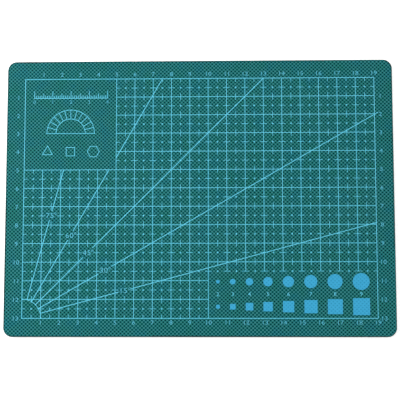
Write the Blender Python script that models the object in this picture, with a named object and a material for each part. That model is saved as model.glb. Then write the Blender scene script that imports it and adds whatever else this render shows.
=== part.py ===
"""Self-healing cutting mat with a printed centimetre grid.

Five flat plies lie one on another: a soft skin, a thin bonding film, a rigid core sheet,
a second film and a second soft skin, all cut to one outline. The print is a thin coat of
ink on the upper skin: a grid with rays at fixed angles, a row of round and a row of square
size gauges with their numerals, and a panel that holds a scale, a protractor and three
plain figures.

Metres, +Z up. The underside lies at Z = 0 with its centre on the Z axis, and the long side
runs along X.
"""
import math

import bmesh
import bpy
from mathutils import Matrix, Vector

# Outline of the blank
MAT_LENGTH = 0.210
MAT_WIDTH = 0.150
CORNER_RADIUS = 0.005

# Plies, ink, and the gap that two pressed faces keep
SKIN_THICKNESS = 0.0009
FILM_THICKNESS = 0.00008
CORE_THICKNESS = 0.001
INK_THICKNESS = 0.00005
PRESSED_GAP = 0.00001

# Grid: square cells, as many as leave the margin free for the numbers
CELL = 0.010
LEAST_MARGIN = 0.010
BORDER_LINE = 0.0005
GRID_LINE = 0.00032

# Rays from an arc about the grid's lower left corner, which part the right angle evenly and
# are broken where their labels stand
RIGHT_ANGLE_PARTS = 6
RAY_ARC_RADIUS = 0.0102
LABEL_DIAGONAL_CELLS = 7
LABEL_CLEAR_LENGTH = 0.0069
LABEL_CLEAR_HEIGHT = 0.0049
LONG_RAY = 2
LONG_RAY_OVERRUN = 0.0021

# Size gauges in the grid's lower right corner: a numeral is the size in gauge units
GAUGE_PANEL_COLUMNS = 9
GAUGE_PANEL_HALF_ROWS = 5
GAUGE_UNIT = 0.001
GAUGE_FIRST = 2
GAUGE_LAST = 9
GAUGE_LEAD = 0.0041
GAUGE_MIDDLE = 0.01275
GAUGE_ROW_SPACING = 0.00665
NUMERAL_HEIGHT = 0.0021

# Figure panel in the grid's upper left corner
PANEL_CELLS = 5
SCALE_CELLS = 4
SCALE_LEAST_TICK = 0.0015
SCALE_HALF_TICK = 0.0027
SCALE_CELL_TICK = 0.004
PROTRACTOR_RADIUS = 0.013
PROTRACTOR_INNER_RADIUS = 0.008
FIGURE_RADIUS = 0.0035
FIGURE_SIDES = {"triangle": 3, "square": 4, "hexagon": 6}

# Fineness of the round shapes
CORNER_STEPS = 12
CIRCLE_STEPS = 32
ARC_STEPS = 24
NUMERAL_STEPS = 2
SAME_POINT = 0.0001

# Worked out from the sizes above
STACK = (
    ("bottom_skin", SKIN_THICKNESS, "skin"),
    ("lower_film", FILM_THICKNESS, "film"),
    ("core_sheet", CORE_THICKNESS, "core"),
    ("upper_film", FILM_THICKNESS, "film"),
    ("top_skin", SKIN_THICKNESS, "skin"),
)
INK_LOW = sum(thickness + PRESSED_GAP for _, thickness, _ in STACK)
COLUMNS = math.floor((MAT_LENGTH - 2 * LEAST_MARGIN) / CELL + 1e-6)
ROWS = math.floor((MAT_WIDTH - 2 * LEAST_MARGIN) / CELL + 1e-6)
GRID_LENGTH = COLUMNS * CELL
GRID_WIDTH = ROWS * CELL
GRID_LEFT = -GRID_LENGTH / 2
GRID_BOTTOM = -GRID_WIDTH / 2
PANEL_SIDE = PANEL_CELLS * CELL
PANEL_BOTTOM = GRID_WIDTH - PANEL_SIDE
GAUGE_PANEL_COLUMN = COLUMNS - GAUGE_PANEL_COLUMNS
GAUGE_PANEL_TOP = GAUGE_PANEL_HALF_ROWS * CELL / 2
RAY_ANGLE = math.pi / 2 / RIGHT_ANGLE_PARTS


def linear(red, green, blue):
    """Gives a colour of 0 to 255 a channel as linear light."""
    shares = [channel / 255 for channel in (red, green, blue)]
    return [s / 12.92 if s <= 0.04045 else ((s + 0.055) / 1.055) ** 2.4 for s in shares]


def make_material(name, colour, roughness):
    """Makes a plain non-metal of one colour."""
    material = bpy.data.materials.new(name)
    material.use_nodes = True
    shader = material.node_tree.nodes["Principled BSDF"]
    shader.inputs["Base Color"].default_value = (*colour, 1.0)
    shader.inputs["Roughness"].default_value = roughness
    shader.inputs["Metallic"].default_value = 0.0
    return material


def add_object(name, data, material, home):
    """Puts a mesh or curve in a collection under its own name."""
    data.materials.append(material)
    thing = bpy.data.objects.new(name, data)
    home.objects.link(thing)
    return thing


def add_shape(name, shape, material, home):
    """Turns a finished bmesh into an object."""
    bmesh.ops.recalc_face_normals(shape, faces=shape.faces)
    mesh = bpy.data.meshes.new(name)
    shape.to_mesh(mesh)
    shape.free()
    return add_object(name, mesh, material, home)


def arc_points(centre, radius, first, last, steps):
    """Lists the points of an arc from the first to the last angle."""
    turns = [first + (last - first) * step / steps for step in range(steps + 1)]
    return [centre + radius * Vector((math.cos(turn), math.sin(turn))) for turn in turns]


def polygon_points(centre, radius, sides):
    """Lists the corners of a regular figure that stands on a side."""
    start = math.pi / sides - math.pi / 2
    return arc_points(centre, radius, start, start + math.tau, sides)[:-1]


def rounded_outline(length, width, radius):
    """Lists the points of a rectangle with round corners about the origin."""
    points = []
    for corner, (side_x, side_y) in enumerate(((1, 1), (-1, 1), (-1, -1), (1, -1))):
        centre = Vector((side_x * (length / 2 - radius), side_y * (width / 2 - radius)))
        start = corner * math.pi / 2
        points += arc_points(centre, radius, start, start + math.pi / 2, CORNER_STEPS)
    return points


def add_flat_solid(name, outlines, low, thickness, material, home):
    """Fills flat outlines, any after the first being holes, and gives them a thickness."""
    curve = bpy.data.curves.new(name, "CURVE")
    curve.dimensions = "2D"
    curve.fill_mode = "BOTH"
    curve.extrude = thickness / 2
    for outline in outlines:
        spline = curve.splines.new("POLY")
        spline.points.add(len(outline) - 1)
        for point, place in zip(spline.points, outline):
            point.co = (place.x, place.y, 0.0, 1.0)
        spline.use_cyclic_u = True
    solid = add_object(name, curve, material, home)
    solid.location.z = low + thickness / 2
    return solid


def set_down(shape, centre):
    """Moves a shape that is centred on the origin to its place in the ink."""
    place = (centre.x, centre.y, INK_LOW + INK_THICKNESS / 2)
    bmesh.ops.translate(shape, vec=place, verts=shape.verts)
    return shape


def ink_box(length, width, centre, turn=0.0):
    """Makes a block of ink as a bmesh, turned about Z."""
    block = bmesh.new()
    bmesh.ops.create_cube(block, size=1.0)
    bmesh.ops.scale(block, vec=(length, width, INK_THICKNESS), verts=block.verts)
    bmesh.ops.rotate(block, matrix=Matrix.Rotation(turn, 3, "Z"), verts=block.verts)
    return set_down(block, centre)


def ink_line(start, end, width):
    """Makes a straight printed line from one point to another."""
    run = end - start
    return ink_box(run.length, width, (start + end) / 2, math.atan2(run.y, run.x))


def ink_arc(centre, radius, width, first, last):
    """Makes a curved printed line: its small section is spun about the centre."""
    band = bmesh.new()
    bmesh.ops.create_grid(band, x_segments=1, y_segments=1, size=0.5)
    bmesh.ops.scale(band, vec=(width, INK_THICKNESS, 1.0), verts=band.verts)
    bmesh.ops.rotate(band, matrix=Matrix.Rotation(math.pi / 2, 3, "X"), verts=band.verts)
    bmesh.ops.translate(band, vec=(radius, 0.0, 0.0), verts=band.verts)
    bmesh.ops.rotate(band, matrix=Matrix.Rotation(first, 3, "Z"), verts=band.verts)
    bmesh.ops.spin(
        band, geom=band.faces[:], axis=(0, 0, 1), cent=(0, 0, 0), angle=last - first, steps=ARC_STEPS
    )
    return set_down(band, centre)


def add_print(name, lines, material, home, helpers):
    """Joins overlapping lines of ink into one printed shape."""
    shape = add_shape(name, lines[0], material, home)
    group = bpy.data.collections.new(f"{name}_lines")
    helpers.children.link(group)
    for number, line in enumerate(lines[1:], start=1):
        helper = add_shape(f"{name}_line_{number}", line, material, group)
        helper.hide_render = True
        helper.display_type = "WIRE"
    join = shape.modifiers.new("join_lines", "BOOLEAN")
    join.operation = "UNION"
    join.solver = "EXACT"
    join.operand_type = "COLLECTION"
    join.collection = group
    return shape


def grid_point(across, up):
    """Gives the place of a point measured from the grid's lower left corner."""
    return Vector((GRID_LEFT + across, GRID_BOTTOM + up))


def border():
    """Makes the frame round the grid: a sheet that is inset, opened and given a thickness."""
    frame = bmesh.new()
    bmesh.ops.create_grid(frame, x_segments=1, y_segments=1, size=0.5)
    outer = (GRID_LENGTH + BORDER_LINE, GRID_WIDTH + BORDER_LINE, 1.0)
    bmesh.ops.scale(frame, vec=outer, verts=frame.verts)
    sheet = frame.faces[:]
    bmesh.ops.inset_individual(frame, faces=sheet, thickness=BORDER_LINE)
    bmesh.ops.delete(frame, geom=sheet, context="FACES_ONLY")
    bmesh.ops.solidify(frame, geom=frame.faces[:], thickness=INK_THICKNESS)
    middle = sum(vert.co.z for vert in frame.verts) / len(frame.verts)
    bmesh.ops.translate(frame, vec=(0.0, 0.0, -middle), verts=frame.verts)
    return set_down(frame, Vector((0.0, 0.0)))


def cell_lines():
    """Makes the lines between the cells, which stop at the two panels."""
    lines = []
    for column in range(1, COLUMNS):
        across = column * CELL
        low = GAUGE_PANEL_TOP if column > GAUGE_PANEL_COLUMN else 0.0
        high = PANEL_BOTTOM if column < PANEL_CELLS else GRID_WIDTH
        lines.append(ink_line(grid_point(across, low), grid_point(across, high), GRID_LINE))
    for row in range(1, ROWS):
        up = row * CELL
        left = PANEL_SIDE if row > ROWS - PANEL_CELLS else 0.0
        right = GAUGE_PANEL_COLUMN * CELL if up < GAUGE_PANEL_TOP else GRID_LENGTH
        lines.append(ink_line(grid_point(left, up), grid_point(right, up), GRID_LINE))
    return lines


def ray_runs(number):
    """Lists the printed stretches of a ray as distances from the corner."""
    along, rise = math.cos(number * RAY_ANGLE), math.sin(number * RAY_ANGLE)
    reach = min(GRID_LENGTH / along, GRID_WIDTH / rise)
    if number == LONG_RAY:
        reach += LONG_RAY_OVERRUN / along
    label = LABEL_DIAGONAL_CELLS * CELL / (along + rise)
    clear = min(LABEL_CLEAR_LENGTH / 2 / along, LABEL_CLEAR_HEIGHT / 2 / rise)
    figure_panel = PANEL_BOTTOM / rise, PANEL_SIDE / along
    gauge_panel = GAUGE_PANEL_COLUMN * CELL / along, GAUGE_PANEL_TOP / rise
    runs = []
    start = RAY_ARC_RADIUS
    for blank_start, blank_end in sorted([(label - clear, label + clear), figure_panel, gauge_panel]):
        if blank_start < min(blank_end, reach):
            runs.append((start, blank_start))
            start = blank_end
    if start < reach:
        runs.append((start, reach))
    return runs


def ray_lines():
    """Makes the rays and the quarter arc that they start from."""
    corner = grid_point(0.0, 0.0)
    lines = [ink_arc(corner, RAY_ARC_RADIUS, GRID_LINE, 0.0, math.pi / 2)]
    for number in range(1, RIGHT_ANGLE_PARTS):
        direction = Vector((math.cos(number * RAY_ANGLE), math.sin(number * RAY_ANGLE)))
        for start, end in ray_runs(number):
            lines.append(ink_line(corner + start * direction, corner + end * direction, GRID_LINE))
    return lines


def add_numeral(name, digits, centre, ink, home):
    """Prints a numeral about a point, in the plain built-in lettering."""
    text = bpy.data.curves.new(name, "FONT")
    text.body = digits
    text.extrude = 0.5
    text.resolution_u = NUMERAL_STEPS
    carrier = bpy.data.objects.new(f"{name}_text", text)
    home.objects.link(carrier)
    mesh = bpy.data.meshes.new_from_object(carrier.evaluated_get(bpy.context.evaluated_depsgraph_get()))
    bpy.data.objects.remove(carrier)
    shape = bmesh.new()
    shape.from_mesh(mesh)
    bmesh.ops.remove_doubles(shape, verts=shape.verts, dist=SAME_POINT)
    across = [vert.co.x for vert in shape.verts]
    up = [vert.co.y for vert in shape.verts]
    middle = Vector((min(across) + max(across), min(up) + max(up), 0.0)) / 2
    share = NUMERAL_HEIGHT / (max(up) - min(up))
    bmesh.ops.translate(shape, vec=-middle, verts=shape.verts)
    bmesh.ops.scale(shape, vec=(share, share, INK_THICKNESS), verts=shape.verts)
    return add_shape(name, set_down(shape, centre), ink, home)


def add_gauges(ink, home):
    """Prints the round gauges, their numerals and the square gauges, evenly spread."""
    sizes = [number * GAUGE_UNIT for number in range(GAUGE_FIRST, GAUGE_LAST + 1)]
    room = GAUGE_PANEL_COLUMNS * CELL - 2 * GAUGE_LEAD - sum(sizes)
    gap = room / (len(sizes) - 1)
    left = GAUGE_PANEL_COLUMN * CELL + GAUGE_LEAD
    for number, size in enumerate(sizes, start=GAUGE_FIRST):
        across = left + size / 2
        disc = bmesh.new()
        bmesh.ops.create_cone(
            disc,
            cap_ends=True,
            segments=CIRCLE_STEPS,
            radius1=size / 2,
            radius2=size / 2,
            depth=INK_THICKNESS,
        )
        set_down(disc, grid_point(across, GAUGE_MIDDLE + GAUGE_ROW_SPACING))
        add_shape(f"circle_gauge_{number}", disc, ink, home)
        tile = ink_box(size, size, grid_point(across, GAUGE_MIDDLE - GAUGE_ROW_SPACING))
        add_shape(f"square_gauge_{number}", tile, ink, home)
        add_numeral(f"gauge_numeral_{number}", str(number), grid_point(across, GAUGE_MIDDLE), ink, home)
        left += size + gap


def scale_lines(start, up):
    """Makes a scale: a base line with a tick at each gauge unit, half cell and cell."""
    end = start + SCALE_CELLS * CELL
    base = grid_point(start - GRID_LINE, up), grid_point(end + GRID_LINE, up)
    lines = [ink_line(*base, GRID_LINE)]
    per_half = round(CELL / GAUGE_UNIT / 2)
    for tick in range(2 * per_half * SCALE_CELLS + 1):
        height = SCALE_LEAST_TICK
        if tick % per_half == 0:
            height = SCALE_HALF_TICK
        if tick % (2 * per_half) == 0:
            height = SCALE_CELL_TICK
        across = start + tick * CELL / (2 * per_half)
        lines.append(ink_line(grid_point(across, up), grid_point(across, up + height), GRID_LINE))
    return lines


def protractor_lines(across, up):
    """Makes a half round protractor: a base line, two arcs and a tick at each ray's angle."""
    past = PROTRACTOR_RADIUS + GRID_LINE
    lines = [ink_line(grid_point(across - past, up), grid_point(across + past, up), GRID_LINE)]
    centre = grid_point(across, up)
    for radius in (PROTRACTOR_INNER_RADIUS, PROTRACTOR_RADIUS):
        lines.append(ink_arc(centre, radius, GRID_LINE, 0.0, math.pi))
    for tick in range(1, 2 * RIGHT_ANGLE_PARTS):
        direction = Vector((math.cos(tick * RAY_ANGLE), math.sin(tick * RAY_ANGLE)))
        ends = centre + PROTRACTOR_INNER_RADIUS * direction, centre + PROTRACTOR_RADIUS * direction
        lines.append(ink_line(*ends, GRID_LINE))
    return lines


def add_panel(ink, home, helpers):
    """Fills the panel with figures, a protractor and a scale, evenly spread from the bottom up."""
    heights = 2 * FIGURE_RADIUS, PROTRACTOR_RADIUS, SCALE_CELL_TICK
    gap = (PANEL_SIDE - sum(heights)) / (len(heights) + 1)
    figures_up = PANEL_BOTTOM + gap + FIGURE_RADIUS
    spacing = PANEL_SIDE / (len(FIGURE_SIDES) + 1)
    for place, (figure, sides) in enumerate(FIGURE_SIDES.items(), start=1):
        centre = grid_point(place * spacing, figures_up)
        inner = FIGURE_RADIUS - GRID_LINE / math.cos(math.pi / sides)
        outlines = [polygon_points(centre, radius, sides) for radius in (FIGURE_RADIUS, inner)]
        add_flat_solid(f"panel_{figure}", outlines, INK_LOW, INK_THICKNESS, ink, home)
    protractor_up = figures_up + FIGURE_RADIUS + gap
    protractor = protractor_lines(PANEL_SIDE / 2, protractor_up)
    add_print("panel_protractor", protractor, ink, home, helpers)
    scale_start = (PANEL_SIDE - SCALE_CELLS * CELL) / 2
    scale = scale_lines(scale_start, protractor_up + PROTRACTOR_RADIUS + gap)
    add_print("panel_scale", scale, ink, home, helpers)


def add_plies(materials, home):
    """Lays the plies one on another from the underside up."""
    outline = rounded_outline(MAT_LENGTH, MAT_WIDTH, CORNER_RADIUS)
    low = 0.0
    for name, thickness, finish in STACK:
        add_flat_solid(name, [outline], low, thickness, materials[finish], home)
        low += thickness + PRESSED_GAP


def build():
    """Builds the whole mat in an empty scene."""
    for thing in list(bpy.data.objects):
        bpy.data.objects.remove(thing, do_unlink=True)
    home = bpy.data.collections.new("cutting_mat")
    helpers = bpy.data.collections.new("cutting_mat_helpers")
    for collection in (home, helpers):
        bpy.context.scene.collection.children.link(collection)
    materials = {
        "skin": make_material("green_vinyl", linear(33, 107, 109), 0.55),
        "film": make_material("clear_film", linear(214, 222, 214), 0.4),
        "core": make_material("white_core", linear(232, 233, 226), 0.5),
        "ink": make_material("blue_ink", linear(60, 161, 203), 0.5),
    }
    add_plies(materials, home)
    grid = [border()] + cell_lines() + ray_lines()
    add_print("grid_print", grid, materials["ink"], home, helpers)
    add_gauges(materials["ink"], home)
    add_panel(materials["ink"], home, helpers)


build()
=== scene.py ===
"""Looks of a self-healing cutting mat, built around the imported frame.

The two soft skins get their embossed net of small pits as real relief, the plies get their die
cut edges, and every printed line, gauge, figure and number is a thin coat of ink that follows
the relief. The half cell marks, the numbers round the grid, the labels of the rays and the
numbers of the panel's scale are added here.

Metres, +Z up, in the frame's own coordinates. The grid is measured from its lower left corner.
"""

import logging
import math
from collections.abc import Iterable, Sequence
from dataclasses import dataclass
from enum import Enum

import bmesh
import bpy
from mathutils import Matrix, Vector


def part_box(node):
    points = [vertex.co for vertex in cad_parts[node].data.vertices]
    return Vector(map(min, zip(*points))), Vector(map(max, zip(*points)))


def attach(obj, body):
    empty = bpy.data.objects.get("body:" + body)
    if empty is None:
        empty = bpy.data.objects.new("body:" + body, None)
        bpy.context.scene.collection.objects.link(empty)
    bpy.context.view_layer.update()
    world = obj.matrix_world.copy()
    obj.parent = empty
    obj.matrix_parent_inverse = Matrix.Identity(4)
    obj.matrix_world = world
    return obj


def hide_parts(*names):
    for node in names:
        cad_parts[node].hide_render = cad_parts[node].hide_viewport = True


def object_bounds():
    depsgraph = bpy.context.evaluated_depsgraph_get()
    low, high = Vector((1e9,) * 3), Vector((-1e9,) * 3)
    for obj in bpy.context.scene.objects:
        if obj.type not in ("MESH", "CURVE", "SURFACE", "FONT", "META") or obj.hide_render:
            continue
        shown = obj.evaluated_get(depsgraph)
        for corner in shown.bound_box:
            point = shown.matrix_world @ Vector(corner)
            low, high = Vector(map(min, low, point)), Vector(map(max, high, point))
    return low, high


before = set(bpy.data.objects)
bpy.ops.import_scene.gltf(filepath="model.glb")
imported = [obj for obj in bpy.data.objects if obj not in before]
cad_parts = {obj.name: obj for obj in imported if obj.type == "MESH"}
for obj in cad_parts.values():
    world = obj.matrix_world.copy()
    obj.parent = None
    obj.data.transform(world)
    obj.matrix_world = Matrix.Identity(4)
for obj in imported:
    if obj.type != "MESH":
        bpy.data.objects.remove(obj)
CAD_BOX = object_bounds()

LOG = logging.getLogger("cutting_mat")
BODY = "root"
SAME_POINT = 0.000001
NO_LENGTH = 0.0000001
SMOOTH_ANGLE = math.radians(38)
SPECULAR = "Specular IOR Level"
Triple = tuple[float, float, float]
Colour = Triple
Shape = bmesh.types.BMesh
Thing = bpy.types.Object


class Slot(Enum):
    """The record's material slots."""

    SKIN = "skin"
    FILM = "film"
    CORE = "core"
    INK = "ink"


class Cut(Enum):
    """Ways of combining two closed bodies."""

    JOIN = "UNION"
    KEEP_SHARED = "INTERSECT"
    TAKE_AWAY = "DIFFERENCE"


def light(red: float, green: float, blue: float) -> Colour:
    """Gives a colour of 0 to 255 a channel as linear light.

    Args:
        red: Red as seen on a screen.
        green: Green as seen on a screen.
        blue: Blue as seen on a screen.

    Returns:
        The three linear channels.
    """
    shares = [channel / 255 for channel in (red, green, blue)]
    curved = [((share + 0.055) / 1.055) ** 2.4 for share in shares]
    return tuple(share / 12.92 if share <= 0.04045 else bent for share, bent in zip(shares, curved))


class Signal:
    """A shader socket that Python expressions can use."""

    def __init__(self, tree: "Shader", socket: bpy.types.NodeSocket) -> None:
        """Keeps the tree, which makes the nodes, and the socket."""
        self.tree = tree
        self.socket = socket

    def _maths(self, operation: str, *values: "Signal | float", clamp: bool = False) -> "Signal":
        """Adds one Math node.

        Args:
            operation: The node's operation.
            values: Its inputs in order.
            clamp: Whether the result is held between 0 and 1.

        Returns:
            The node's result.
        """
        settings = {"operation": operation, "use_clamp": clamp}
        return self.tree.node("ShaderNodeMath", settings, dict(enumerate(values)))

    def __add__(self, other: "Signal | float") -> "Signal":
        """Adds."""
        return self._maths("ADD", self, other)

    __radd__ = __add__

    def __sub__(self, other: "Signal | float") -> "Signal":
        """Subtracts."""
        return self._maths("SUBTRACT", self, other)

    def __rsub__(self, other: float) -> "Signal":
        """Subtracts from a number."""
        return self._maths("SUBTRACT", other, self)

    def __mul__(self, other: "Signal | float") -> "Signal":
        """Multiplies."""
        return self._maths("MULTIPLY", self, other)

    __rmul__ = __mul__

    def __pow__(self, other: float) -> "Signal":
        """Raises to a power."""
        return self._maths("POWER", self, other)

    def fraction(self) -> "Signal":
        """Gives what is left over the whole number below."""
        return self._maths("FRACT", self)

    def swing(self, share: float) -> "Signal":
        """Turns noise into a swing of some width about 0."""
        return (self - 0.5) * share

    def held(self) -> "Signal":
        """Holds the value between 0 and 1."""
        return self._maths("ADD", self, 0.0, clamp=True)

    def step(self, low: float, high: float) -> "Signal":
        """Rises smoothly from 0 at the low value to 1 at the high one."""
        limits = {"Value": self, "From Min": low, "From Max": high}
        return self.tree.node("ShaderNodeMapRange", {"interpolation_type": "SMOOTHSTEP"}, limits)


class Shader:
    """A material's node tree around its Principled node."""

    FINE_SHARE = 0.55

    def __init__(self, name: str, constants: dict[str, float | Colour]) -> None:
        """Starts a material.

        Args:
            name: The material's name.
            constants: Values of the Principled node's sockets that are the same all over.
        """
        self.material = bpy.data.materials.new(name)
        self.material.use_nodes = True
        self.tree = self.material.node_tree
        self.principled = self.tree.nodes["Principled BSDF"]
        for socket, value in constants.items():
            self.feed(self.principled, socket, value)
        self.place = self.node("ShaderNodeTexCoord", {}, {}, "Object")
        parts = self.node("ShaderNodeSeparateXYZ", {}, {"Vector": self.place}).socket.node
        self.x, self.y, self.z = (Signal(self, parts.outputs[axis]) for axis in "XYZ")

    def feed(self, node: bpy.types.Node, socket: str | int, value: "Signal | float | Sequence") -> None:
        """Links a signal to a node's input, or sets the input to a constant.

        Args:
            node: The node.
            socket: The input's name or number.
            value: The signal, number, vector or colour.
        """
        target = node.inputs[socket]
        if isinstance(value, Signal):
            self.tree.links.new(value.socket, target)
        elif isinstance(value, (int, float)) or len(value) == len(target.default_value):
            target.default_value = value
        else:
            target.default_value = (*value, 1.0)

    def node(self, kind: str, settings: dict, inputs: dict, output: str | int = 0) -> Signal:
        """Adds any node.

        Args:
            kind: The node's type.
            settings: Its properties, which are set first.
            inputs: Values or signals by socket.
            output: The output to hand back.

        Returns:
            The chosen output.
        """
        node = self.tree.nodes.new(kind)
        for name, value in settings.items():
            setattr(node, name, value)
        for socket, value in inputs.items():
            self.feed(node, socket, value)
        return Signal(self, node.outputs[output])

    def mix(self, share: Signal | float, first: Signal | Colour, second: Signal | Colour) -> Signal:
        """Mixes two colours.

        Args:
            share: How much of the second colour.
            first: The colour at 0.
            second: The colour at 1.

        Returns:
            The mixed colour.
        """
        inputs = {"Factor": share, 6: first, 7: second}
        return self.node("ShaderNodeMix", {"data_type": "RGBA"}, inputs, 2)

    def mottled(self, first: Colour, second: Colour, swings: Signal, centre: float = 0.5) -> Signal:
        """Mixes two colours by swings about a centre."""
        return self.mix((swings + centre).held(), first, second)

    def noise(self, size: float, detail: float = 2.0, stretch: Triple = (1.0, 1.0, 1.0)) -> Signal:
        """Adds soft noise whose blots are about one size.

        Args:
            size: The size of a blot in metres.
            detail: How many finer layers it has.
            stretch: How many times longer the blots are along each axis.

        Returns:
            The noise from 0 to 1.
        """
        scale = tuple(1 / (size * part) for part in stretch)
        place = self.node("ShaderNodeMapping", {"vector_type": "POINT"}, {0: self.place, "Scale": scale})
        inputs = {"Vector": place, "Scale": 1.0, "Detail": detail, "Roughness": self.FINE_SHARE}
        return self.node("ShaderNodeTexNoise", {"noise_dimensions": "3D"}, inputs)

    def finish(self, colour: Signal, roughness: Signal, height: Signal, rise: float) -> bpy.types.Material:
        """Feeds the varying values to the Principled node.

        Args:
            colour: The base colour.
            roughness: The roughness.
            height: The fine relief, from 0 to 1.
            rise: How high that relief is in metres.

        Returns:
            The finished material.
        """
        bump = {"Height": height, "Distance": rise, "Strength": 1.0}
        self.feed(self.principled, "Base Color", colour)
        self.feed(self.principled, "Roughness", roughness)
        self.feed(self.principled, "Normal", self.node("ShaderNodeBump", {}, bump))
        return self.material


def to_thing(name: str, shape: Shape, *materials: bpy.types.Material) -> Thing:
    """Turns a finished bmesh into an object at the origin.

    Args:
        name: The object's name.
        shape: The bmesh, which is used up.
        materials: The materials in slot order.

    Returns:
        The object.
    """
    mesh = bpy.data.meshes.new(name)
    shape.to_mesh(mesh)
    shape.free()
    for material in materials:
        mesh.materials.append(material)
    thing = bpy.data.objects.new(name, mesh)
    bpy.context.scene.collection.objects.link(thing)
    return thing


def solid_mesh(thing: Thing) -> bpy.types.Mesh:
    """Gives the mesh of an object as its modifiers leave it."""
    return bpy.data.meshes.new_from_object(thing.evaluated_get(bpy.context.evaluated_depsgraph_get()))


def combine(body: Thing, tool: Thing, cut: Cut) -> None:
    """Combines a closed body with a tool, which stays as it is.

    Args:
        body: The body that takes the result.
        tool: The other closed body.
        cut: What is done with the tool.
    """
    modifier = body.modifiers.new("cut", "BOOLEAN")
    modifier.operation = cut.value
    modifier.solver = "MANIFOLD"
    modifier.object = tool
    mesh = solid_mesh(body)
    body.modifiers.remove(modifier)
    old = body.data
    body.data = mesh
    mesh.name = body.name
    bpy.data.meshes.remove(old)


def discard(*things: Thing) -> None:
    """Removes tools that have done their work."""
    for thing in things:
        bpy.data.objects.remove(thing, do_unlink=True)


def mend(thing: Thing) -> None:
    """Collapses the edges of no length that a cut can leave behind.

    Args:
        thing: The piece that was cut.
    """
    shape = bmesh.new()
    shape.from_mesh(thing.data)
    bmesh.ops.dissolve_degenerate(shape, dist=NO_LENGTH, edges=shape.edges[:])
    shape.to_mesh(thing.data)
    shape.free()


def heights(node: str) -> tuple[float, float]:
    """Gives the heights of a node's lower and upper face."""
    low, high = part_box(node)
    return low.z, high.z


def add_block(shape: Shape, size: Triple, centre: Vector, turn: float = 0.0) -> None:
    """Adds a closed block.

    Args:
        shape: The shape that takes it.
        size: Its length, width and thickness.
        centre: Its centre.
        turn: How far it is turned about +Z.
    """
    verts = bmesh.ops.create_cube(shape, size=1.0)["verts"]
    bmesh.ops.scale(shape, vec=size, verts=verts)
    bmesh.ops.rotate(shape, cent=(0.0, 0.0, 0.0), matrix=Matrix.Rotation(turn, 3, "Z"), verts=verts)
    bmesh.ops.translate(shape, vec=centre, verts=verts)


def add_disc(shape: Shape, centre: Vector, radius: float, thickness: float, steps: int) -> None:
    """Adds a closed disc.

    Args:
        shape: The shape that takes it.
        centre: Its centre.
        radius: Its radius.
        thickness: Its thickness.
        steps: The steps round it.
    """
    bmesh.ops.create_cone(
        shape,
        cap_ends=True,
        segments=steps,
        radius1=radius,
        radius2=radius,
        depth=thickness,
        matrix=Matrix.Translation(centre),
    )


def smooth(thing: Thing) -> None:
    """Shades a piece smooth, apart from its real edges."""
    thing.data.shade_smooth()
    thing.data.set_sharp_from_angle(angle=SMOOTH_ANGLE)


def show(thing: Thing, slot: Slot, *nodes: str) -> None:
    """Shades a finished piece, hangs it under the body's empty and hides the frame's nodes that it stands
    for.

    Args:
        thing: The piece.
        slot: The record's slot for it; not used.
        nodes: The frame's nodes that it stands for.
    """
    smooth(thing)
    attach(thing, BODY)
    if nodes:
        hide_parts(*nodes)
    LOG.info("%s: %d faces", thing.name, len(thing.data.polygons))


@dataclass(frozen=True)
class Grid:
    """The printed grid's own sizes, measured from its lower left corner."""

    cell: float = 0.010
    columns: int = 19
    rows: int = 13
    panel_cells: int = 5
    gauge_column: int = 10
    gauge_top: float = 0.025

    def point(self, across: float, up: float) -> Vector:
        """Gives the place of a point of the grid."""
        return Vector((across - self.columns * self.cell / 2, up - self.rows * self.cell / 2, 0.0))


@dataclass(frozen=True)
class Relief:
    """Heights of an embossed slab: its ridges, the floors of its pits and its plain face."""

    peak: float
    floor: float
    back: float


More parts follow.
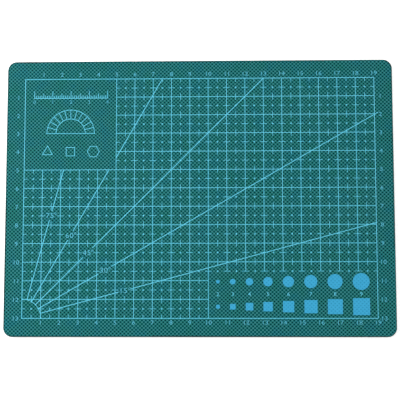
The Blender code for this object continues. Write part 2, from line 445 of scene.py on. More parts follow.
@dataclass(frozen=True)
class Emboss:
    """Net of fine ridges round small pits, which the press rolls leave on both skins.

    The ridges run both ways at about 45 degrees, and the pits are the diamonds between them.
    """

    grid: Grid
    across: float = 0.0020797
    up: float = 0.0020160
    turn: float = math.radians(-0.147)
    first_pit: tuple[float, float] = (0.00107, 0.00008)
    slope: float = 0.00046
    depth: float = 0.00015
    ink_depth: float = 0.00009
    spare_cells: int = 2

    def basis(self) -> Matrix:
        """Gives the two steps from a pit to its neighbours as a matrix's columns."""
        steps = Matrix(((self.across / 2, self.across / 2), (-self.up / 2, self.up / 2)))
        return Matrix.Rotation(self.turn, 2) @ steps

    def origin(self) -> Vector:
        """Finds the pit that lies nearest to the frame's origin.

        Returns:
            The pit's centre.
        """
        corner = self.grid.point(*self.first_pit)
        pit = Vector((corner.x, corner.y))
        count = self.basis().inverted() @ pit
        return pit - self.basis() @ Vector((round(count.x), round(count.y)))

    def slab(self, reach: Vector, relief: Relief) -> Shape:
        """Makes a closed slab with one embossed face.

        Args:
            reach: The least length and width of the slab.
            relief: Its heights.

        Returns:
            The slab.
        """
        basis = self.basis()
        half = reach.x / self.across / 2 + reach.y / self.up / 2
        cells = 2 * math.ceil(half + self.spare_cells)
        slab = bmesh.new()
        bmesh.ops.create_grid(slab, x_segments=cells, y_segments=cells, size=cells / 2)
        start = self.origin() - basis @ Vector((0.5, 0.5))
        place = basis.to_3x3().to_4x4()
        place.translation = (start.x, start.y, relief.peak)
        bmesh.ops.transform(slab, matrix=place, verts=slab.verts)
        limit = Vector((reach.x / 2 + self.across, reach.y / 2 + self.up))
        middles = [(face, face.calc_center_median()) for face in slab.faces]
        far = [face for face, at in middles if abs(at.x) > limit.x or abs(at.y) > limit.y]
        bmesh.ops.delete(slab, geom=far, context="FACES")
        slab.normal_update()
        fall = relief.floor - relief.peak
        bmesh.ops.inset_individual(
            slab, faces=slab.faces[:], thickness=self.slope, depth=fall, use_even_offset=True
        )
        rim = [edge for edge in slab.edges if edge.is_boundary]
        walls = bmesh.ops.extrude_edge_only(slab, edges=rim)["geom"]
        for vert in (part for part in walls if isinstance(part, bmesh.types.BMVert)):
            vert.co.z = relief.back
        bmesh.ops.contextual_create(slab, geom=[edge for edge in slab.edges if edge.is_boundary])
        bmesh.ops.recalc_face_normals(slab, faces=slab.faces)
        return slab


class Nearness:
    """How near a point of a skin is to a pit or to a ridge, as shader signals."""

    def __init__(self, shader: Shader, emboss: Emboss) -> None:
        """Measures from the net's own two directions.

        Args:
            shader: The material that reads the net.
            emboss: The net.
        """
        pit = emboss.origin()
        turned = emboss.basis().inverted()
        right, down = shader.x - pit.x, shader.y - pit.y
        steps = [right * row[0] + down * row[1] for row in turned]
        first, second = ((step + 0.5).fraction() - 0.5 for step in steps)
        self.from_pit = (first * first + second * second) ** 0.5


@dataclass(frozen=True)
class EmbossedVinyl:
    """Satin vinyl with a painted sheen on its ridges and painted shade down in its pits."""

    emboss: Emboss
    # The crest colour is a painted sheen on the ridges, and the pit colour is painted shade down in the
    # pits.
    crest: Colour = light(74, 142, 144)
    land: Colour = light(0, 107, 108)
    pit: Colour = light(0, 14, 20)
    cool: Colour = light(18, 112, 134)
    green: Colour = light(20, 112, 92)
    pit_start: float = 0.12
    pit_end: float = 0.36
    crest_start: float = 0.39
    crest_end: float = 0.60
    cloud_size: float = 0.055
    mottle_size: float = 0.006
    grain_size: float = 0.00016
    grain_rise: float = 0.000012
    grain_wander: float = 0.06
    cloud_polish: float = 0.25
    grain_polish: float = 0.3
    cool_range: tuple[float, float] = (0.5, 0.7)
    green_range: tuple[float, float] = (0.5, 0.3)
    tint: float = 0.3
    pit_roughness: float = 0.66
    land_gloss: float = 0.14
    grain_roughness: float = 0.2
    specular: float = 0.05

    def material(self) -> bpy.types.Material:
        """Makes the material.

        Returns:
            The material.
        """
        shader = Shader("embossed_vinyl", {SPECULAR: self.specular})
        clouds = shader.noise(self.cloud_size, detail=3.0)
        mottle = shader.noise(self.mottle_size, detail=3.0)
        grain = shader.noise(self.grain_size)
        from_pit = Nearness(shader, self.emboss).from_pit + grain.swing(self.grain_wander)
        swings = clouds.swing(self.cloud_polish) + grain.swing(self.grain_polish)
        # Painted sheen: the ridges turn lighter, as if they caught the light.
        sheen_mask = from_pit.step(self.crest_start, self.crest_end) + swings
        face = shader.mix(sheen_mask.held(), self.land, self.crest)
        tinted = shader.mix(mottle.step(*self.cool_range) * self.tint, face, self.cool)
        tinted = shader.mix(mottle.step(*self.green_range) * self.tint, tinted, self.green)
        # Painted shade: the pits go near black, as if no light reached them.
        openness = from_pit.step(self.pit_start, self.pit_end)
        colour = shader.mix(openness, self.pit, tinted)
        roughness = self.pit_roughness - openness * self.land_gloss + grain.swing(self.grain_roughness)
        return shader.finish(colour, roughness, grain, self.grain_rise)


@dataclass(frozen=True)
class CutVinyl:
    """The die cut edge of a skin and its rounded rim: matt, with fine upright drag marks, and darker,
    partly by its own tone and partly by painted shade along the rim.
    """

    # Both colours are darker than the face: partly the cut edge's own tone, partly painted shade along the
    # rounded rim.
    pale: Colour = light(30, 84, 84)
    dark: Colour = light(12, 54, 56)
    mark_width: float = 0.00009
    mark_stretch: float = 14.0
    mark_rise: float = 0.00003
    mark_share: float = 0.8
    wander_size: float = 0.006
    wander_share: float = 0.4
    roughness: float = 0.55
    mark_roughness: float = 0.25
    specular: float = 0.15

    def material(self) -> bpy.types.Material:
        """Makes the material.

        Returns:
            The material.
        """
        shader = Shader("shaded_cut_vinyl", {SPECULAR: self.specular})
        marks = shader.noise(self.mark_width, detail=3.0, stretch=(1.0, 1.0, self.mark_stretch))
        swings = marks.swing(self.mark_share) + shader.noise(self.wander_size).swing(self.wander_share)
        colour = shader.mottled(self.dark, self.pale, swings)
        return shader.finish(colour, self.roughness + marks * self.mark_roughness, marks, self.mark_rise)


@dataclass(frozen=True)
class RigidSheet:
    """Rigid white sheet, seen at its sawn and pressed edge."""

    pale: Colour = light(240, 241, 234)
    dull: Colour = light(205, 208, 198)
    layer: float = 0.00012
    layer_stretch: float = 45.0
    layer_share: float = 0.9
    speck: float = 0.00022
    speck_share: float = 0.5
    centre: float = 0.45
    rise: float = 0.00002
    roughness: float = 0.42
    speck_roughness: float = 0.2
    specular: float = 0.4

    def material(self) -> bpy.types.Material:
        """Makes the material.

        Returns:
            The material.
        """
        shader = Shader("rigid_sheet", {SPECULAR: self.specular})
        layers = shader.noise(self.layer, stretch=(self.layer_stretch, self.layer_stretch, 1.0))
        specks = shader.noise(self.speck, detail=3.0)
        swings = layers.swing(self.layer_share) + specks.swing(self.speck_share)
        colour = shader.mottled(self.dull, self.pale, swings, self.centre)
        roughness = self.roughness + specks * self.speck_roughness
        return shader.finish(colour, roughness, layers + specks * self.speck_share, self.rise)


@dataclass(frozen=True)
class BondFilm:
    """Thin milky bonding film between two plies."""

    pale: Colour = light(206, 222, 212)
    green: Colour = light(142, 184, 176)
    blot: float = 0.0012
    rise: float = 0.000006
    roughness: float = 0.3
    blot_roughness: float = 0.15
    specular: float = 0.5

    def material(self) -> bpy.types.Material:
        """Makes the material.

        Returns:
            The material.
        """
        shader = Shader("bond_film", {SPECULAR: self.specular})
        blots = shader.noise(self.blot, detail=4.0)
        colour = shader.mix(blots, self.green, self.pale)
        return shader.finish(colour, self.roughness + blots * self.blot_roughness, blots, self.rise)


@dataclass(frozen=True)
class Ink:
    """Satin screen ink of the solid gauges, which lies thinner and greener down in the pits."""

    emboss: Emboss
    name: str = "pad_ink"
    full: Colour = light(73, 185, 229)
    worn: Colour = light(54, 163, 206)
    thin: Colour = light(30, 130, 174)
    thinning: float = 0.6
    pit_start: float = 0.1
    pit_end: float = 0.42
    mottle_size: float = 0.0011
    mottle_share: float = 0.9
    grain_size: float = 0.00014
    grain_rise: float = 0.000008
    grain_share: float = 0.4
    grain_wander: float = 0.2
    grain_roughness: float = 0.2
    roughness: float = 0.5
    specular: float = 0.12

    def material(self) -> bpy.types.Material:
        """Makes the material.

        Returns:
            The material.
        """
        shader = Shader(self.name, {SPECULAR: self.specular})
        mottle = shader.noise(self.mottle_size, detail=3.0)
        grain = shader.noise(self.grain_size)
        swings = mottle.swing(self.mottle_share) + grain.swing(self.grain_share)
        coat = shader.mottled(self.worn, self.full, swings)
        from_pit = Nearness(shader, self.emboss).from_pit + grain.swing(self.grain_wander)
        sunk = 1.0 - from_pit.step(self.pit_start, self.pit_end)
        colour = shader.mix(sunk * self.thinning, coat, self.thin)
        roughness = self.roughness + grain.swing(self.grain_roughness)
        return shader.finish(colour, roughness, grain, self.grain_rise)


@dataclass(frozen=True)
class LineInk(Ink):
    """The ink of thin lines and of the gauges' numerals, which looks paler."""

    name: str = "line_ink"
    full: Colour = light(117, 222, 245)
    worn: Colour = light(92, 204, 235)
    thin: Colour = light(45, 164, 202)
    thinning: float = 0.5


@dataclass(frozen=True)
class NumberInk(Ink):
    """The ink of the other numbers, which looks a little duller than the lines."""

    name: str = "number_ink"
    full: Colour = light(104, 200, 223)
    worn: Colour = light(80, 180, 208)
    thin: Colour = light(40, 144, 172)
    thinning: float = 0.55


@dataclass(frozen=True)
class Floor:
    """Plain pale studio floor with a faint tooth."""

    tone: Colour = (0.86, 0.86, 0.86)
    pale: Colour = (0.9, 0.9, 0.9)
    glow_colour: Colour = (1.0, 1.0, 1.0)
    glow: float = 0.55
    tooth: float = 0.0009
    tooth_share: float = 0.1
    tooth_rise: float = 0.00001
    roughness: float = 0.85
    tooth_roughness: float = 0.1
    specular: float = 0.0

    def material(self) -> bpy.types.Material:
        """Makes the material.

        Returns:
            The material.
        """
        glow = {"Emission Color": self.glow_colour, "Emission Strength": self.glow}
        shader = Shader("studio_floor", {SPECULAR: self.specular, **glow})
        tooth = shader.noise(self.tooth)
        colour = shader.mix(tooth * self.tooth_share, self.tone, self.pale)
        return shader.finish(colour, self.roughness + tooth * self.tooth_roughness, tooth, self.tooth_rise)


@dataclass(frozen=True)
class Blank:
    """The outline that every ply is cut to."""

    length: float
    width: float
    corner: float = 0.005
    corner_steps: int = 28
    ease_steps: int = 3

    def reach(self) -> Vector:
        """Gives the length and the width."""
        return Vector((self.length, self.width))

    def plate(self, low: float, high: float, pull: float, ease_low: float, ease_high: float) -> Shape:
        """Makes one ply with round corners and eased rims.

        Args:
            low: Its lower face's height.
            high: Its upper face's height.
            pull: How far its edge lies back from the outline.
            ease_low: The radius of the lower rim.
            ease_high: The radius of the upper rim.

        Returns:
            The closed ply.
        """
        plate = bmesh.new()
        bmesh.ops.create_grid(plate, x_segments=1, y_segments=1, size=0.5)
        size = (self.length - 2 * pull, self.width - 2 * pull, 1.0)
        bmesh.ops.scale(plate, vec=size, verts=plate.verts)
        bmesh.ops.bevel(
            plate,
            geom=plate.verts[:],
            offset=self.corner - pull,
            offset_type="OFFSET",
            segments=self.corner_steps,
            profile=0.5,
            affect="VERTICES",
            material=-1,
        )
        bmesh.ops.translate(plate, vec=(0.0, 0.0, low), verts=plate.verts)
        grown = bmesh.ops.extrude_face_region(plate, geom=plate.faces[:])["geom"]
        lifted = [part for part in grown if isinstance(part, bmesh.types.BMVert)]
        bmesh.ops.translate(plate, vec=(0.0, 0.0, high - low), verts=lifted)
        bmesh.ops.recalc_face_normals(plate, faces=plate.faces)
        for height, ease in ((low, ease_low), (high, ease_high)):
            self._ease(plate, height, ease)
        return plate

    def inset(self, at: Vector) -> float:
        """Gives how far a point lies inside the outline.

        Args:
            at: The point.

        Returns:
            The shortest way out, which is below 0 outside the outline.
        """
        across = abs(at.x) - self.length / 2 + self.corner
        up = abs(at.y) - self.width / 2 + self.corner
        return self.corner - math.hypot(max(across, 0.0), max(up, 0.0)) - min(max(across, up), 0.0)

    def _ease(self, plate: Shape, height: float, ease: float) -> None:
        """Rounds the rim at one height.

        Args:
            plate: The ply.
            height: The rim's height.
            ease: The radius, or 0 for a sharp rim.
        """
        if ease == 0:
            return
        level = {vert for vert in plate.verts if abs(vert.co.z - height) < SAME_POINT}
        rim = [edge for edge in plate.edges if level.issuperset(edge.verts)]
        bmesh.ops.bevel(
            plate,
            geom=rim,
            offset=ease,
            offset_type="OFFSET",
            segments=self.ease_steps,
            profile=0.5,
            affect="EDGES",
            material=-1,
        )


@dataclass(frozen=True)
class SkinMap:
    """A skin's own map, which leaves nearly all its room to the embossed face.

    Below that face's place lie a strip for the plain face, which the other plies hide, and one
    for each side of the cut edge.
    """

    name: str = "OFBake"
    face_start: float = 0.08
    back_end: float = 0.03
    side_height: float = 0.012
    gap: float = 0.002

    def lay_out(self, skin: Thing, outward: int) -> None:
        """Gives the skin its map.

        Args:
            skin: The skin.
            outward: 1 where the embossed face looks up, -1 where it looks down.
        """
        places = [vert.co for vert in skin.data.vertices]
        low = [min(place[axis] for place in places) for axis in range(3)]
        high = [max(place[axis] for place in places) for axis in range(3)]
        layer = skin.data.uv_layers.new(name=self.name)
        for face in skin.data.polygons:
            axis = max(range(3), key=lambda number: abs(face.normal[number]))
            along, rise = ((1, 2), (0, 2), (0, 1))[axis]
            start, end = self._strip(axis, face.normal[axis] * (outward if axis == 2 else 1) > 0)
            for corner in face.loop_indices:
                place = places[skin.data.loops[corner].vertex_index]
                across = (place[along] - low[along]) / (high[along] - low[along])
                up = (place[rise] - low[rise]) / (high[rise] - low[rise])
                layer.uv[corner].vector = (across, start + up * (end - start))

    def _strip(self, axis: int, ahead: bool) -> tuple[float, float]:
        """Gives the map's strip for the faces that look one way.

        Args:
            axis: The axis that they look along.
            ahead: Whether they look ahead along it; on the last axis, whether they are embossed.

        Returns:
            Where the strip starts and ends.
        """
        if axis == 2:
            return (self.face_start, 1.0) if ahead else (0.0, self.back_end)
        start = self.back_end + self.gap + (2 * axis + ahead) * self.side_height
        return start, start + self.side_height - self.gap


@dataclass
class Laminate:
    """The five plies: skin, film, core, film, skin."""

    blank: Blank
    emboss: Emboss
    outer_ease: float = 0.00045
    inner_ease: float = 0.00006
    core_pull: float = 0.00005
    # rim: how far in from the outline the faces take the darker cut finish with its painted shade.
    rim: float = 0.0005
    spare: float = 0.0005

    def build(self) -> None:
        """Makes, dresses and shows every ply."""
        vinyl, cut = EmbossedVinyl(self.emboss).material(), CutVinyl().material()
        low, high = heights("bottom_skin")
        back = self.blank.plate(low, high, 0.0, self.outer_ease, self.inner_ease)
        relief = Relief(low, low + self.emboss.depth, high + self.spare)
        show(self._skin("embossed_back", back, relief, vinyl, cut), Slot.SKIN, "bottom_skin")
        low, high = heights("top_skin")
        face = self.blank.plate(low, high, 0.0, self.inner_ease, self.outer_ease)
        relief = Relief(high, high - self.emboss.depth, low - self.spare)
        show(self._skin("embossed_face", face, relief, vinyl, cut), Slot.SKIN, "top_skin")
        film = BondFilm().material()
        for name, node in (("lower_bond", "lower_film"), ("upper_bond", "upper_film")):
            bond = self.blank.plate(*heights(node), self.core_pull, 0.0, 0.0)
            show(to_thing(name, bond, film), Slot.FILM, node)
        core = self.blank.plate(*heights("core_sheet"), self.core_pull, self.inner_ease, self.inner_ease)
        show(to_thing("rigid_core", core, RigidSheet().material()), Slot.CORE, "core_sheet")

    def _skin(self, name: str, plate: Shape, relief: Relief, vinyl: bpy.types.Material,
              cut: bpy.types.Material) -> Thing:
        """Presses the net into a plate and parts its face from its cut edge and rim.

        Args:
            name: The piece's name.
            plate: The plain plate.
            relief: The heights of the slab that presses it.
            vinyl: The finish of the faces.
            cut: The finish of the cut edge and the rims beside it, darker with painted shade along the
                rims.

        Returns:
            The skin.
        """
        skin = to_thing(name, plate, vinyl, cut)
        slab = to_thing("relief", self.emboss.slab(self.blank.reach(), relief), vinyl, cut)
        combine(skin, slab, Cut.KEEP_SHARED)
        discard(slab)
        # Faces near the outline take the darker cut finish, which paints shade along the rounded rim.
        for face in skin.data.polygons:
            face.material_index = int(self.blank.inset(face.center) < self.rim)
        SkinMap().lay_out(skin, 1 if relief.peak > relief.back else -1)
        return skin


@dataclass
class InkCoat:
    """The layer of ink that fits the relief; a stencil takes its printed part out of it."""

    emboss: Emboss
    blank: Blank
    skin_top: float
    ink_top: float
    spare: float = 0.0005
    tall: float = 20.0

    def __post_init__(self) -> None:
        """Makes the whole coat as one closed layer."""
        emboss, reach, back = self.emboss, self.blank.reach(), self.skin_top - self.spare
        face = Relief(self.ink_top, self.ink_top - emboss.ink_depth, back)
        under = Relief(self.skin_top, self.skin_top - emboss.depth, back)
        self.layer = to_thing("ink_layer", emboss.slab(reach, face))
        tool = to_thing("ink_under", emboss.slab(reach, under))
        combine(self.layer, tool, Cut.TAKE_AWAY)
        discard(tool)

    def middle(self) -> float:
        """Gives the height at which flat stencils lie."""
        return (self.skin_top + self.ink_top) / 2

    def stencil(self, shape: Shape, name: str) -> Thing:
        """Stretches a flat shape of ink into a tall closed stencil.

        Args:
            shape: The closed flat shape at its place.
            name: The stencil's name.

        Returns:
            The stencil.
        """
        level = sum(vert.co.z for vert in shape.verts) / len(shape.verts)
        bmesh.ops.translate(shape, vec=(0.0, 0.0, -level), verts=shape.verts)
        bmesh.ops.scale(shape, vec=(1.0, 1.0, self.tall), verts=shape.verts)
        bmesh.ops.translate(shape, vec=(0.0, 0.0, self.middle()), verts=shape.verts)
        bmesh.ops.recalc_face_normals(shape, faces=shape.faces)
        return to_thing(name, shape)

    def node_stencil(self, node: str, name: str) -> Thing:
        """Makes the stencil of one of the frame's printed nodes.

        Args:
            node: The node.
            name: The stencil's name.

        Returns:
            The stencil.
        """
        shape = bmesh.new()
        shape.from_mesh(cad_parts[node].data)
        bmesh.ops.remove_doubles(shape, verts=shape.verts, dist=SAME_POINT)
        return self.stencil(shape, name)

    def printed(self, stencil: Thing, ink: bpy.types.Material, *nodes: str) -> None:
        """Takes the stencil's part of the coat and shows it.

        Args:
            stencil: The stencil, which becomes the piece.
            ink: The ink's material.
            nodes: The frame's nodes that it stands for.
        """
        combine(stencil, self.layer, Cut.KEEP_SHARED)
        mend(stencil)
        stencil.data.materials.clear()
        stencil.data.materials.append(ink)
        stencil.data.polygons.foreach_set("material_index", [0] * len(stencil.data.polygons))
        show(stencil, Slot.INK, *nodes)


@dataclass(frozen=True)
class Lettering:
    """Plain numbers, made as flat closed shapes of ink."""

    height: float
    stretch: float = 1.0
    spacing: float = 1.0
    thickness: float = 0.00005
    steps: int = 4
    weld: float = 0.0001

    def _flat(self, body: str) -> Shape:
        """Sets digits and signs in the plain built-in lettering, one unit thick.

        Args:
            body: The digits and signs.

        Returns:
            Their shape, in the lettering's own size.
        """
        text = bpy.data.curves.new("word", "FONT")
        text.body = body
        text.extrude = 0.5
        text.resolution_u = self.steps
        text.space_character = self.spacing
        carrier = bpy.data.objects.new("word", text)
        bpy.context.scene.collection.objects.link(carrier)
        mesh = solid_mesh(carrier)
        discard(carrier)
        shape = bmesh.new()
        shape.from_mesh(mesh)
        bpy.data.meshes.remove(mesh)
        bmesh.ops.remove_doubles(shape, verts=shape.verts, dist=self.weld)
        return shape

    @staticmethod
    def _span(shape: Shape, axis: int) -> tuple[float, float]:
        """Gives the lowest and highest coordinate of a shape."""
        values = [vert.co[axis] for vert in shape.verts]
        return min(values), max(values)

    def word(self, body: str, place: Vector) -> bpy.types.Mesh:
        """Makes one number, as large as its digits ask.

        Args:
            body: Its digits and signs.
            place: The middle of its digits.

        Returns:
            Its mesh, in place.
        """
        shape, digit = self._flat(body), self._flat("0")
        left, right = self._span(shape, 0)
        bottom, top = self._span(digit, 1)
        digit.free()
        share = self.height / (top - bottom)
        shift = Vector((-(left + right) / 2, -(bottom + top) / 2, 0.0))
        size = (share * self.stretch, share, self.thickness)
        bmesh.ops.translate(shape, vec=shift, verts=shape.verts)
        bmesh.ops.scale(shape, vec=size, verts=shape.verts)
        bmesh.ops.translate(shape, vec=place, verts=shape.verts)
        mesh = bpy.data.meshes.new("word")
        shape.to_mesh(mesh)
        shape.free()
        return mesh

    def line(self, words: Iterable[tuple[str, Vector]]) -> Shape:
        """Makes a row of numbers as one shape of separate bodies.

        Args:
            words: Each number with its place.

        Returns:
            The shape.
        """
        row = bmesh.new()
        for body, place in words:
            mesh = self.word(body, place)
            row.from_mesh(mesh)
            bpy.data.meshes.remove(mesh)
        return row


@dataclass(frozen=True)
class Rays:
    """The angle rays, which start at a quarter arc and are broken at their labels."""

    grid: Grid
    parts: int = 6
    width: float = 0.00040
    thickness: float = 0.00005
    arc_radius: float = 0.0102
    label_cells: int = 7
    label_clear: tuple[float, float] = (0.0069, 0.0049)
    sign: tuple[float, float] = (0.00255, 0.0010)
    sign_clear: float = 0.00076
    sign_steps: int = 24
    long_ray: int = 2
    overrun: float = 0.0021

    def turn(self, number: int) -> float:
        """Gives the angle between a ray and the grid's lower side."""
        return number * math.pi / 2 / self.parts

    def direction(self, number: int) -> Vector:
        """Gives a ray's direction."""
        return Vector((math.cos(self.turn(number)), math.sin(self.turn(number)), 0.0))

    def labels(self) -> list[Vector]:
        """Places the labels on one diagonal of the grid.

        Returns:
            The centre of each label.
        """
        centres = []
        for number in range(1, self.parts):
            along, rise, _ = self.direction(number)
            reach = self.label_cells * self.grid.cell / (along + rise)
            centres.append(self.grid.point(reach * along, reach * rise))
        return centres

    def signs(self) -> list[Vector]:
        """Gives the centre of each label's degree sign."""
        return [centre + Vector((*self.sign, 0.0)) for centre in self.labels()]

    def runs(self, number: int) -> list[tuple[float, float]]:
        """Lists a ray's printed stretches.

        Args:
            number: The ray, counted from the grid's lower side.

        Returns:
            Where each stretch starts and ends, measured along the ray from the corner.
        """
        grid, (along, rise, _) = self.grid, self.direction(number)
        reach = min(grid.columns * grid.cell / along, grid.rows * grid.cell / rise)
        if number == self.long_ray:
            reach += self.overrun / along
        label = self.label_cells * grid.cell / (along + rise)
        clear = min(self.label_clear[0] / 2 / along, self.label_clear[1] / 2 / rise)
        figures = (grid.rows - grid.panel_cells) * grid.cell / rise, grid.panel_cells * grid.cell / along
        gauges = grid.gauge_column * grid.cell / along, grid.gauge_top / rise
        runs, start = [], self.arc_radius
        for stop, restart in sorted([(label - clear, label + clear), figures, gauges]):
            if stop < min(restart, reach):
                runs.append((start, stop))
                start = restart
        return runs + [(start, reach)] if start < reach else runs

    def strips(self) -> Shape:
        """Makes every printed stretch as a closed flat strip.

        Returns:
            The strips.
        """
        shape = bmesh.new()
        for number in range(1, self.parts):
            for start, end in self.runs(number):
                middle = self.grid.point(0.0, 0.0) + self.direction(number) * (start + end) / 2
                add_block(shape, (end - start, self.width, self.thickness), middle, self.turn(number))
        return shape

    def clearings(self) -> Shape:
        """Makes a disc round each degree sign, where no mark is printed.

        Returns:
            The discs.
        """
        shape = bmesh.new()
        for centre in self.signs():
            add_disc(shape, centre, self.sign_clear, self.thickness, self.sign_steps)
        return shape


@dataclass
class PrintedGrid:
    """The grid with its rays and the dashes and small crosses halfway between its lines."""

    grid: Grid
    rays: Rays
    dash: float = 0.0038
    dash_width: float = 0.00026
    cross: float = 0.00115
    cross_width: float = 0.00032
    thickness: float = 0.00005

    def build(self, coat: InkCoat, lines: bpy.types.Material) -> None:
        """Prints the lines and then the marks around them.

        Args:
            coat: The layer of ink.
            lines: The ink of thin lines.
        """
        stencil = coat.node_stencil("grid_print", "grid_and_rays")
        strips = coat.stencil(self.rays.strips(), "ray_strips")
        combine(stencil, strips, Cut.JOIN)
        discard(strips)
        marks = coat.stencil(self._marks(), "half_cell_marks")
        clearings = coat.stencil(self.rays.clearings(), "sign_clearings")
        for tool in (stencil, clearings):
            combine(marks, tool, Cut.TAKE_AWAY)
        discard(clearings)
        coat.printed(marks, lines)
        coat.printed(stencil, lines, "grid_print")

    def _row_limits(self, up: float) -> tuple[float, float]:
        """Leaves out the panel and the gauges.

        Args:
            up: The height of a half row of marks.

        Returns:
            Where the half row starts and stops.
        """
        grid = self.grid
        above_panel = up > (grid.rows - grid.panel_cells) * grid.cell
        left = grid.panel_cells * grid.cell if above_panel else 0.0
        beside_gauges = up < grid.gauge_top - SAME_POINT
        right = grid.gauge_column * grid.cell if beside_gauges else grid.columns * grid.cell
        return left, right

    def _column_limits(self, across: float) -> tuple[float, float]:
        """Leaves out the panel and the gauges.

        Args:
            across: The place of a half column of marks.

        Returns:
            Where the half column starts and stops.
        """
        grid = self.grid
        beyond = across > grid.gauge_column * grid.cell
        low = grid.gauge_top if beyond else 0.0
        under_panel = across < grid.panel_cells * grid.cell
        high = (grid.rows - grid.panel_cells if under_panel else grid.rows) * grid.cell
        return low, high

    def _marks(self) -> Shape:
        """Makes every dash and every small cross as a separate body.

        Returns:
            The marks.
        """
        grid, marks = self.grid, bmesh.new()
        for row in range(grid.rows):
            up = (row + 0.5) * grid.cell
            for middle, length in self._dashes(*self._row_limits(up)):
                add_block(marks, (length, self.dash_width, self.thickness), grid.point(middle, up))
        for column in range(grid.columns):
            across = (column + 0.5) * grid.cell
            for middle, length in self._dashes(*self._column_limits(across)):
                add_block(marks, (self.dash_width, length, self.thickness), grid.point(across, middle))
        self._crosses(marks)
        return marks

    def _dashes(self, low: float, high: float) -> list[tuple[float, float]]:
        """Lists the dashes of a half row or half column, one over each grid line.

        Args:
            low: Where the half row starts.
            high: Where it stops.

        Returns:
            The middle and the length of each dash.
        """
        dashes = []
        for line in range(max(self.grid.columns, self.grid.rows) + 1):
            start = max(line * self.grid.cell - self.dash / 2, low)
            end = min(line * self.grid.cell + self.dash / 2, high)
            if end > start:
                dashes.append(((start + end) / 2, end - start))
        return dashes

    def _crosses(self, marks: Shape) -> None:
        """Adds a small cross in the middle of each cell that no label covers.

        Args:
            marks: The shape that takes them.
        """
        grid, cross = self.grid, self._cross()
        for row in range(grid.rows):
            up = (row + 0.5) * grid.cell
            left, right = self._row_limits(up)
            for column in range(grid.columns):
                across = (column + 0.5) * grid.cell
                centre = grid.point(across, up)
                if left < across < right and not self._labelled(centre):
                    known = len(marks.verts)
                    marks.from_mesh(cross)
                    marks.verts.ensure_lookup_table()
                    bmesh.ops.translate(marks, vec=centre, verts=marks.verts[known:])
        bpy.data.meshes.remove(cross)

    def _labelled(self, centre: Vector) -> bool:
        """Tells whether a point lies on a ray's label.

        Args:
            centre: The point.

        Returns:
            Whether it does.
        """
        wide, high = self.rays.label_clear
        gaps = [centre - label for label in self.rays.labels()]
        return any(abs(gap.x) < wide / 2 and abs(gap.y) < high / 2 for gap in gaps)

    def _cross(self) -> bpy.types.Mesh:
        """Makes one small cross about the origin.

        Returns:
            Its mesh.
        """
        cross = bmesh.new()
        bmesh.ops.create_grid(cross, x_segments=3, y_segments=3, size=self.cross / 2)
        inner = self.cross_width / 2
        for vert in cross.verts:
            for axis in (0, 1):
                if abs(vert.co[axis]) < self.cross / 2 - SAME_POINT:
                    vert.co[axis] = math.copysign(inner, vert.co[axis])
        corners = [face for face in cross.faces if self._is_corner(face.calc_center_median())]
        bmesh.ops.delete(cross, geom=corners, context="FACES")
        bmesh.ops.solidify(cross, geom=cross.faces[:], thickness=self.thickness)
        mesh = bpy.data.meshes.new("cross")
        cross.to_mesh(mesh)
        cross.free()
        return mesh

    def _is_corner(self, middle: Vector) -> bool:
        """Tells whether a face of the small cross is one of its corners."""
        return min(abs(middle.x), abs(middle.y)) > self.cross_width / 2


@dataclass
class RayLabels:
    """The angle that is printed on each ray, with a small ring as its degree sign."""

    rays: Rays
    height: float = 0.0027
    stretch: float = 1.15
    spacing: float = 1.06
    digits_back: float = 0.0005
    ring_height: float = 0.0032
    ring_rise: float = 0.00115

    def build(self, coat: InkCoat, digits: bpy.types.Material) -> None:
        """Prints the labels.

        Args:
            coat: The layer of ink.
            digits: The ink of numbers.
        """
        angle, back = 90 // self.rays.parts, Vector((-self.digits_back, 0.0, 0.0))
        centres = self.rays.labels()
        words = [(f"{angle * number}", at + back) for number, at in enumerate(centres, start=1)]
        labels = Lettering(self.height, self.stretch, self.spacing).line(words)
        coat.printed(coat.stencil(labels, "ray_labels"), digits)
        # The built-in ring stands this far above the middle of the digits.
        drop = Vector((0.0, -self.ring_rise, 0.0))
        rings = Lettering(self.ring_height).line([("°", at + drop) for at in self.rays.signs()])
        coat.printed(coat.stencil(rings, "degree_signs"), digits)


@dataclass
class MarginNumbers:
    """The numbers of the columns and rows along the four sides."""

    grid: Grid
    height: float = 0.00222
    stretch: float = 1.12
    spacing: float = 1.08
    pair_shift: float = 0.0003
    drop: float = 0.00015
    top_gap: float = 0.0026
    bottom_gap: float = 0.0023
    left_gap: float = 0.0037
    right_gap: float = 0.0033

    def build(self, coat: InkCoat, digits: bpy.types.Material) -> None:
        """Prints one row of numbers along each side.

        Args:
            coat: The layer of ink.
            digits: The ink of numbers.
        """
        grid, lettering = self.grid, Lettering(self.height, self.stretch, self.spacing)
        wide, high = grid.columns * grid.cell, grid.rows * grid.cell
        columns = [(number, number * grid.cell) for number in range(1, grid.columns + 1)]
        rows = [(row, (grid.rows - row) * grid.cell - self.drop) for row in range(1, grid.rows + 1)]
        sides = {
            "top_numbers": [(number, at, high + self.top_gap) for number, at in columns],
            "bottom_numbers": [(number, at, -self.bottom_gap) for number, at in columns],
            "left_numbers": [(number, -self.left_gap, at) for number, at in rows],
            "right_numbers": [(number, wide + self.right_gap, at) for number, at in rows],
        }
        for name, side in sides.items():
            words = [(str(number), grid.point(x + self._shift(number), y)) for number, x, y in side]
            coat.printed(coat.stencil(lettering.line(words), name), digits)

    def _shift(self, number: int) -> float:
        """Gives how far a number of two digits stands to the right of its line."""
        return self.pair_shift if number > 9 else 0.0


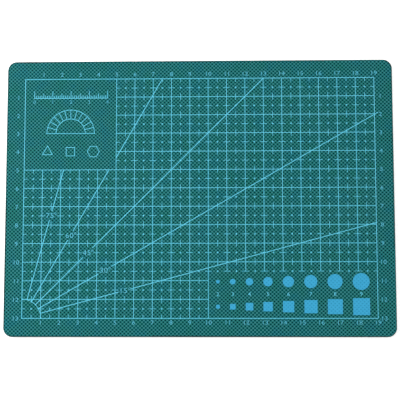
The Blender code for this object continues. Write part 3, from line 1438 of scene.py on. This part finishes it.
@dataclass
class GaugeTable:
    """The round and square size gauges with their numerals."""

    first: int = 2
    last: int = 9
    disc_steps: int = 96
    kinds: tuple[str, str, str] = ("circle_gauge", "square_gauge", "gauge_numeral")

    def build(self, coat: InkCoat, pads: bpy.types.Material, digits: bpy.types.Material) -> None:
        """Prints every gauge and numeral.

        Args:
            coat: The layer of ink.
            pads: The ink of the solid gauges.
            digits: The ink of the numerals.
        """
        for number in range(self.first, self.last + 1):
            circle, tile, numeral = (f"{kind}_{number}" for kind in self.kinds)
            coat.printed(coat.stencil(self._disc(circle), f"round_pad_{number}"), pads, circle)
            coat.printed(coat.node_stencil(tile, f"square_pad_{number}"), pads, tile)
            coat.printed(coat.node_stencil(numeral, f"pad_number_{number}"), digits, numeral)

    def _disc(self, node: str) -> Shape:
        """Makes a finer disc of the size and place of a round gauge.

        Args:
            node: The gauge's node.

        Returns:
            The disc.
        """
        low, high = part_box(node)
        disc, size = bmesh.new(), high - low
        add_disc(disc, (low + high) / 2, size.x / 2, size.z, self.disc_steps)
        return disc


@dataclass
class FigurePanel:
    """The panel's scale with its numbers, the protractor and the three plain figures."""

    grid: Grid
    parts: tuple[str, ...] = ("scale", "protractor", "triangle", "square", "hexagon")
    scale_cells: int = 4
    number_height: float = 0.0019
    number_gap: float = 0.0019

    def build(self, coat: InkCoat, lines: bpy.types.Material, digits: bpy.types.Material) -> None:
        """Prints the panel.

        Args:
            coat: The layer of ink.
            lines: The ink of thin lines.
            digits: The ink of numbers.
        """
        for part in self.parts:
            node = f"panel_{part}"
            coat.printed(coat.node_stencil(node, f"printed_{part}"), lines, node)
        low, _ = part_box("panel_scale")
        start = (self.grid.panel_cells - self.scale_cells) * self.grid.cell / 2
        words = []
        for cell in range(self.scale_cells + 1):
            place = self.grid.point(start + cell * self.grid.cell, 0.0)
            place.y = low.y - self.number_gap
            words.append((str(cell), place))
        numbers = Lettering(self.number_height).line(words)
        coat.printed(coat.stencil(numbers, "scale_numbers"), digits)


@dataclass(frozen=True)
class Softbox:
    """A square softbox, its side in metres and its power in watts."""

    name: str
    place: Triple
    side: float
    power: float

    def hang(self) -> None:
        """Hangs it so that it faces the mat."""
        data = bpy.data.lights.new(self.name, "AREA")
        data.size = self.side
        data.energy = self.power
        lamp = bpy.data.objects.new(self.name, data)
        lamp.location = self.place
        lamp.rotation_euler = lamp.location.to_track_quat("Z", "Y").to_euler()
        bpy.context.scene.collection.objects.link(lamp)


@dataclass
class Studio:
    """Camera, floor and soft light."""

    eye: Triple = (0.01529, -0.05861, 0.5483)
    right: Triple = (0.99964, -0.00053, -0.02712)
    up: Triple = (0.00334, 0.99460, 0.10379)
    lens: float = 91.52
    sensor: float = 36.0
    clip_start: float = 0.01
    floor_radius: float = 4.0
    floor_gap: float = 0.00005
    floor_steps: int = 96
    wall_height: float = 0.8
    wall_steps: int = 12
    sky: float = 0.325
    key: Softbox = Softbox("key", (-0.62, 0.12, 0.52), 0.6, 6.2)
    fill: Softbox = Softbox("fill", (0.72, 0.45, 0.75), 0.9, 3.4)

    def build(self) -> None:
        """Sets the studio up."""
        self._camera()
        self._floor()
        self._world()
        self.key.hang()
        self.fill.hang()
        bpy.context.scene.view_settings.view_transform = "Standard"

    def _camera(self) -> None:
        """Puts the camera at the photograph's viewing angle."""
        data = bpy.data.cameras.new("camera")
        data.sensor_width = self.sensor
        data.sensor_fit = "HORIZONTAL"
        data.lens = self.lens
        data.clip_start = self.clip_start
        camera = bpy.data.objects.new("camera", data)
        right = Vector(self.right).normalized()
        back = right.cross(Vector(self.up)).normalized()
        turn = Matrix((right, back.cross(right), back)).transposed()
        camera.matrix_world = Matrix.Translation(self.eye) @ turn.to_4x4()
        bpy.context.scene.collection.objects.link(camera)
        bpy.context.scene.camera = camera

    def _floor(self) -> None:
        """Lays a round floor that curves up into a low wall, so that no edge shows behind the mat."""
        sheet, points = bmesh.new(), [Vector((0.0, 0.0, 0.0))]
        for step in range(self.wall_steps + 1):
            turn = step / self.wall_steps * math.pi / 2
            across = self.floor_radius - self.wall_height * (1 - math.sin(turn))
            points.append(Vector((across, 0.0, self.wall_height * (1 - math.cos(turn)))))
        verts = [sheet.verts.new(point) for point in points]
        edges = [sheet.edges.new(pair) for pair in zip(verts, verts[1:])]
        bmesh.ops.spin(
            sheet,
            geom=verts + edges,
            cent=(0.0, 0.0, 0.0),
            axis=(0.0, 0.0, 1.0),
            angle=math.tau,
            steps=self.floor_steps,
            use_merge=True,
        )
        bmesh.ops.remove_doubles(sheet, verts=sheet.verts, dist=SAME_POINT)
        bmesh.ops.translate(sheet, vec=(0.0, 0.0, -self.floor_gap), verts=sheet.verts)
        sheet.normal_update()
        bmesh.ops.reverse_faces(sheet, faces=[face for face in sheet.faces if face.normal.z < 0])
        floor = to_thing("studio_floor", sheet, Floor().material())
        smooth(floor)

    def _world(self) -> None:
        """Lights the whole room evenly."""
        world = bpy.data.worlds.new("studio")
        world.use_nodes = True
        sky = world.node_tree.nodes["Background"]
        sky.inputs["Color"].default_value = (1.0, 1.0, 1.0, 1.0)
        sky.inputs["Strength"].default_value = self.sky
        bpy.context.scene.world = world


def main() -> None:
    """Builds the mat from the plies up, then the studio."""
    logging.basicConfig(level=logging.INFO, format="%(message)s")
    low, high = CAD_BOX
    blank, grid = Blank(high.x - low.x, high.y - low.y), Grid()
    emboss = Emboss(grid)
    Laminate(blank, emboss).build()
    coat = InkCoat(emboss, blank, heights("top_skin")[1], high.z)
    pad_ink, line_ink = Ink(emboss).material(), LineInk(emboss).material()
    number_ink = NumberInk(emboss).material()
    rays = Rays(grid)
    PrintedGrid(grid, rays).build(coat, line_ink)
    RayLabels(rays).build(coat, number_ink)
    MarginNumbers(grid).build(coat, number_ink)
    GaugeTable().build(coat, pad_ink, line_ink)
    FigurePanel(grid).build(coat, line_ink, number_ink)
    discard(coat.layer)
    Studio().build()


if __name__ == "__main__":
    main()
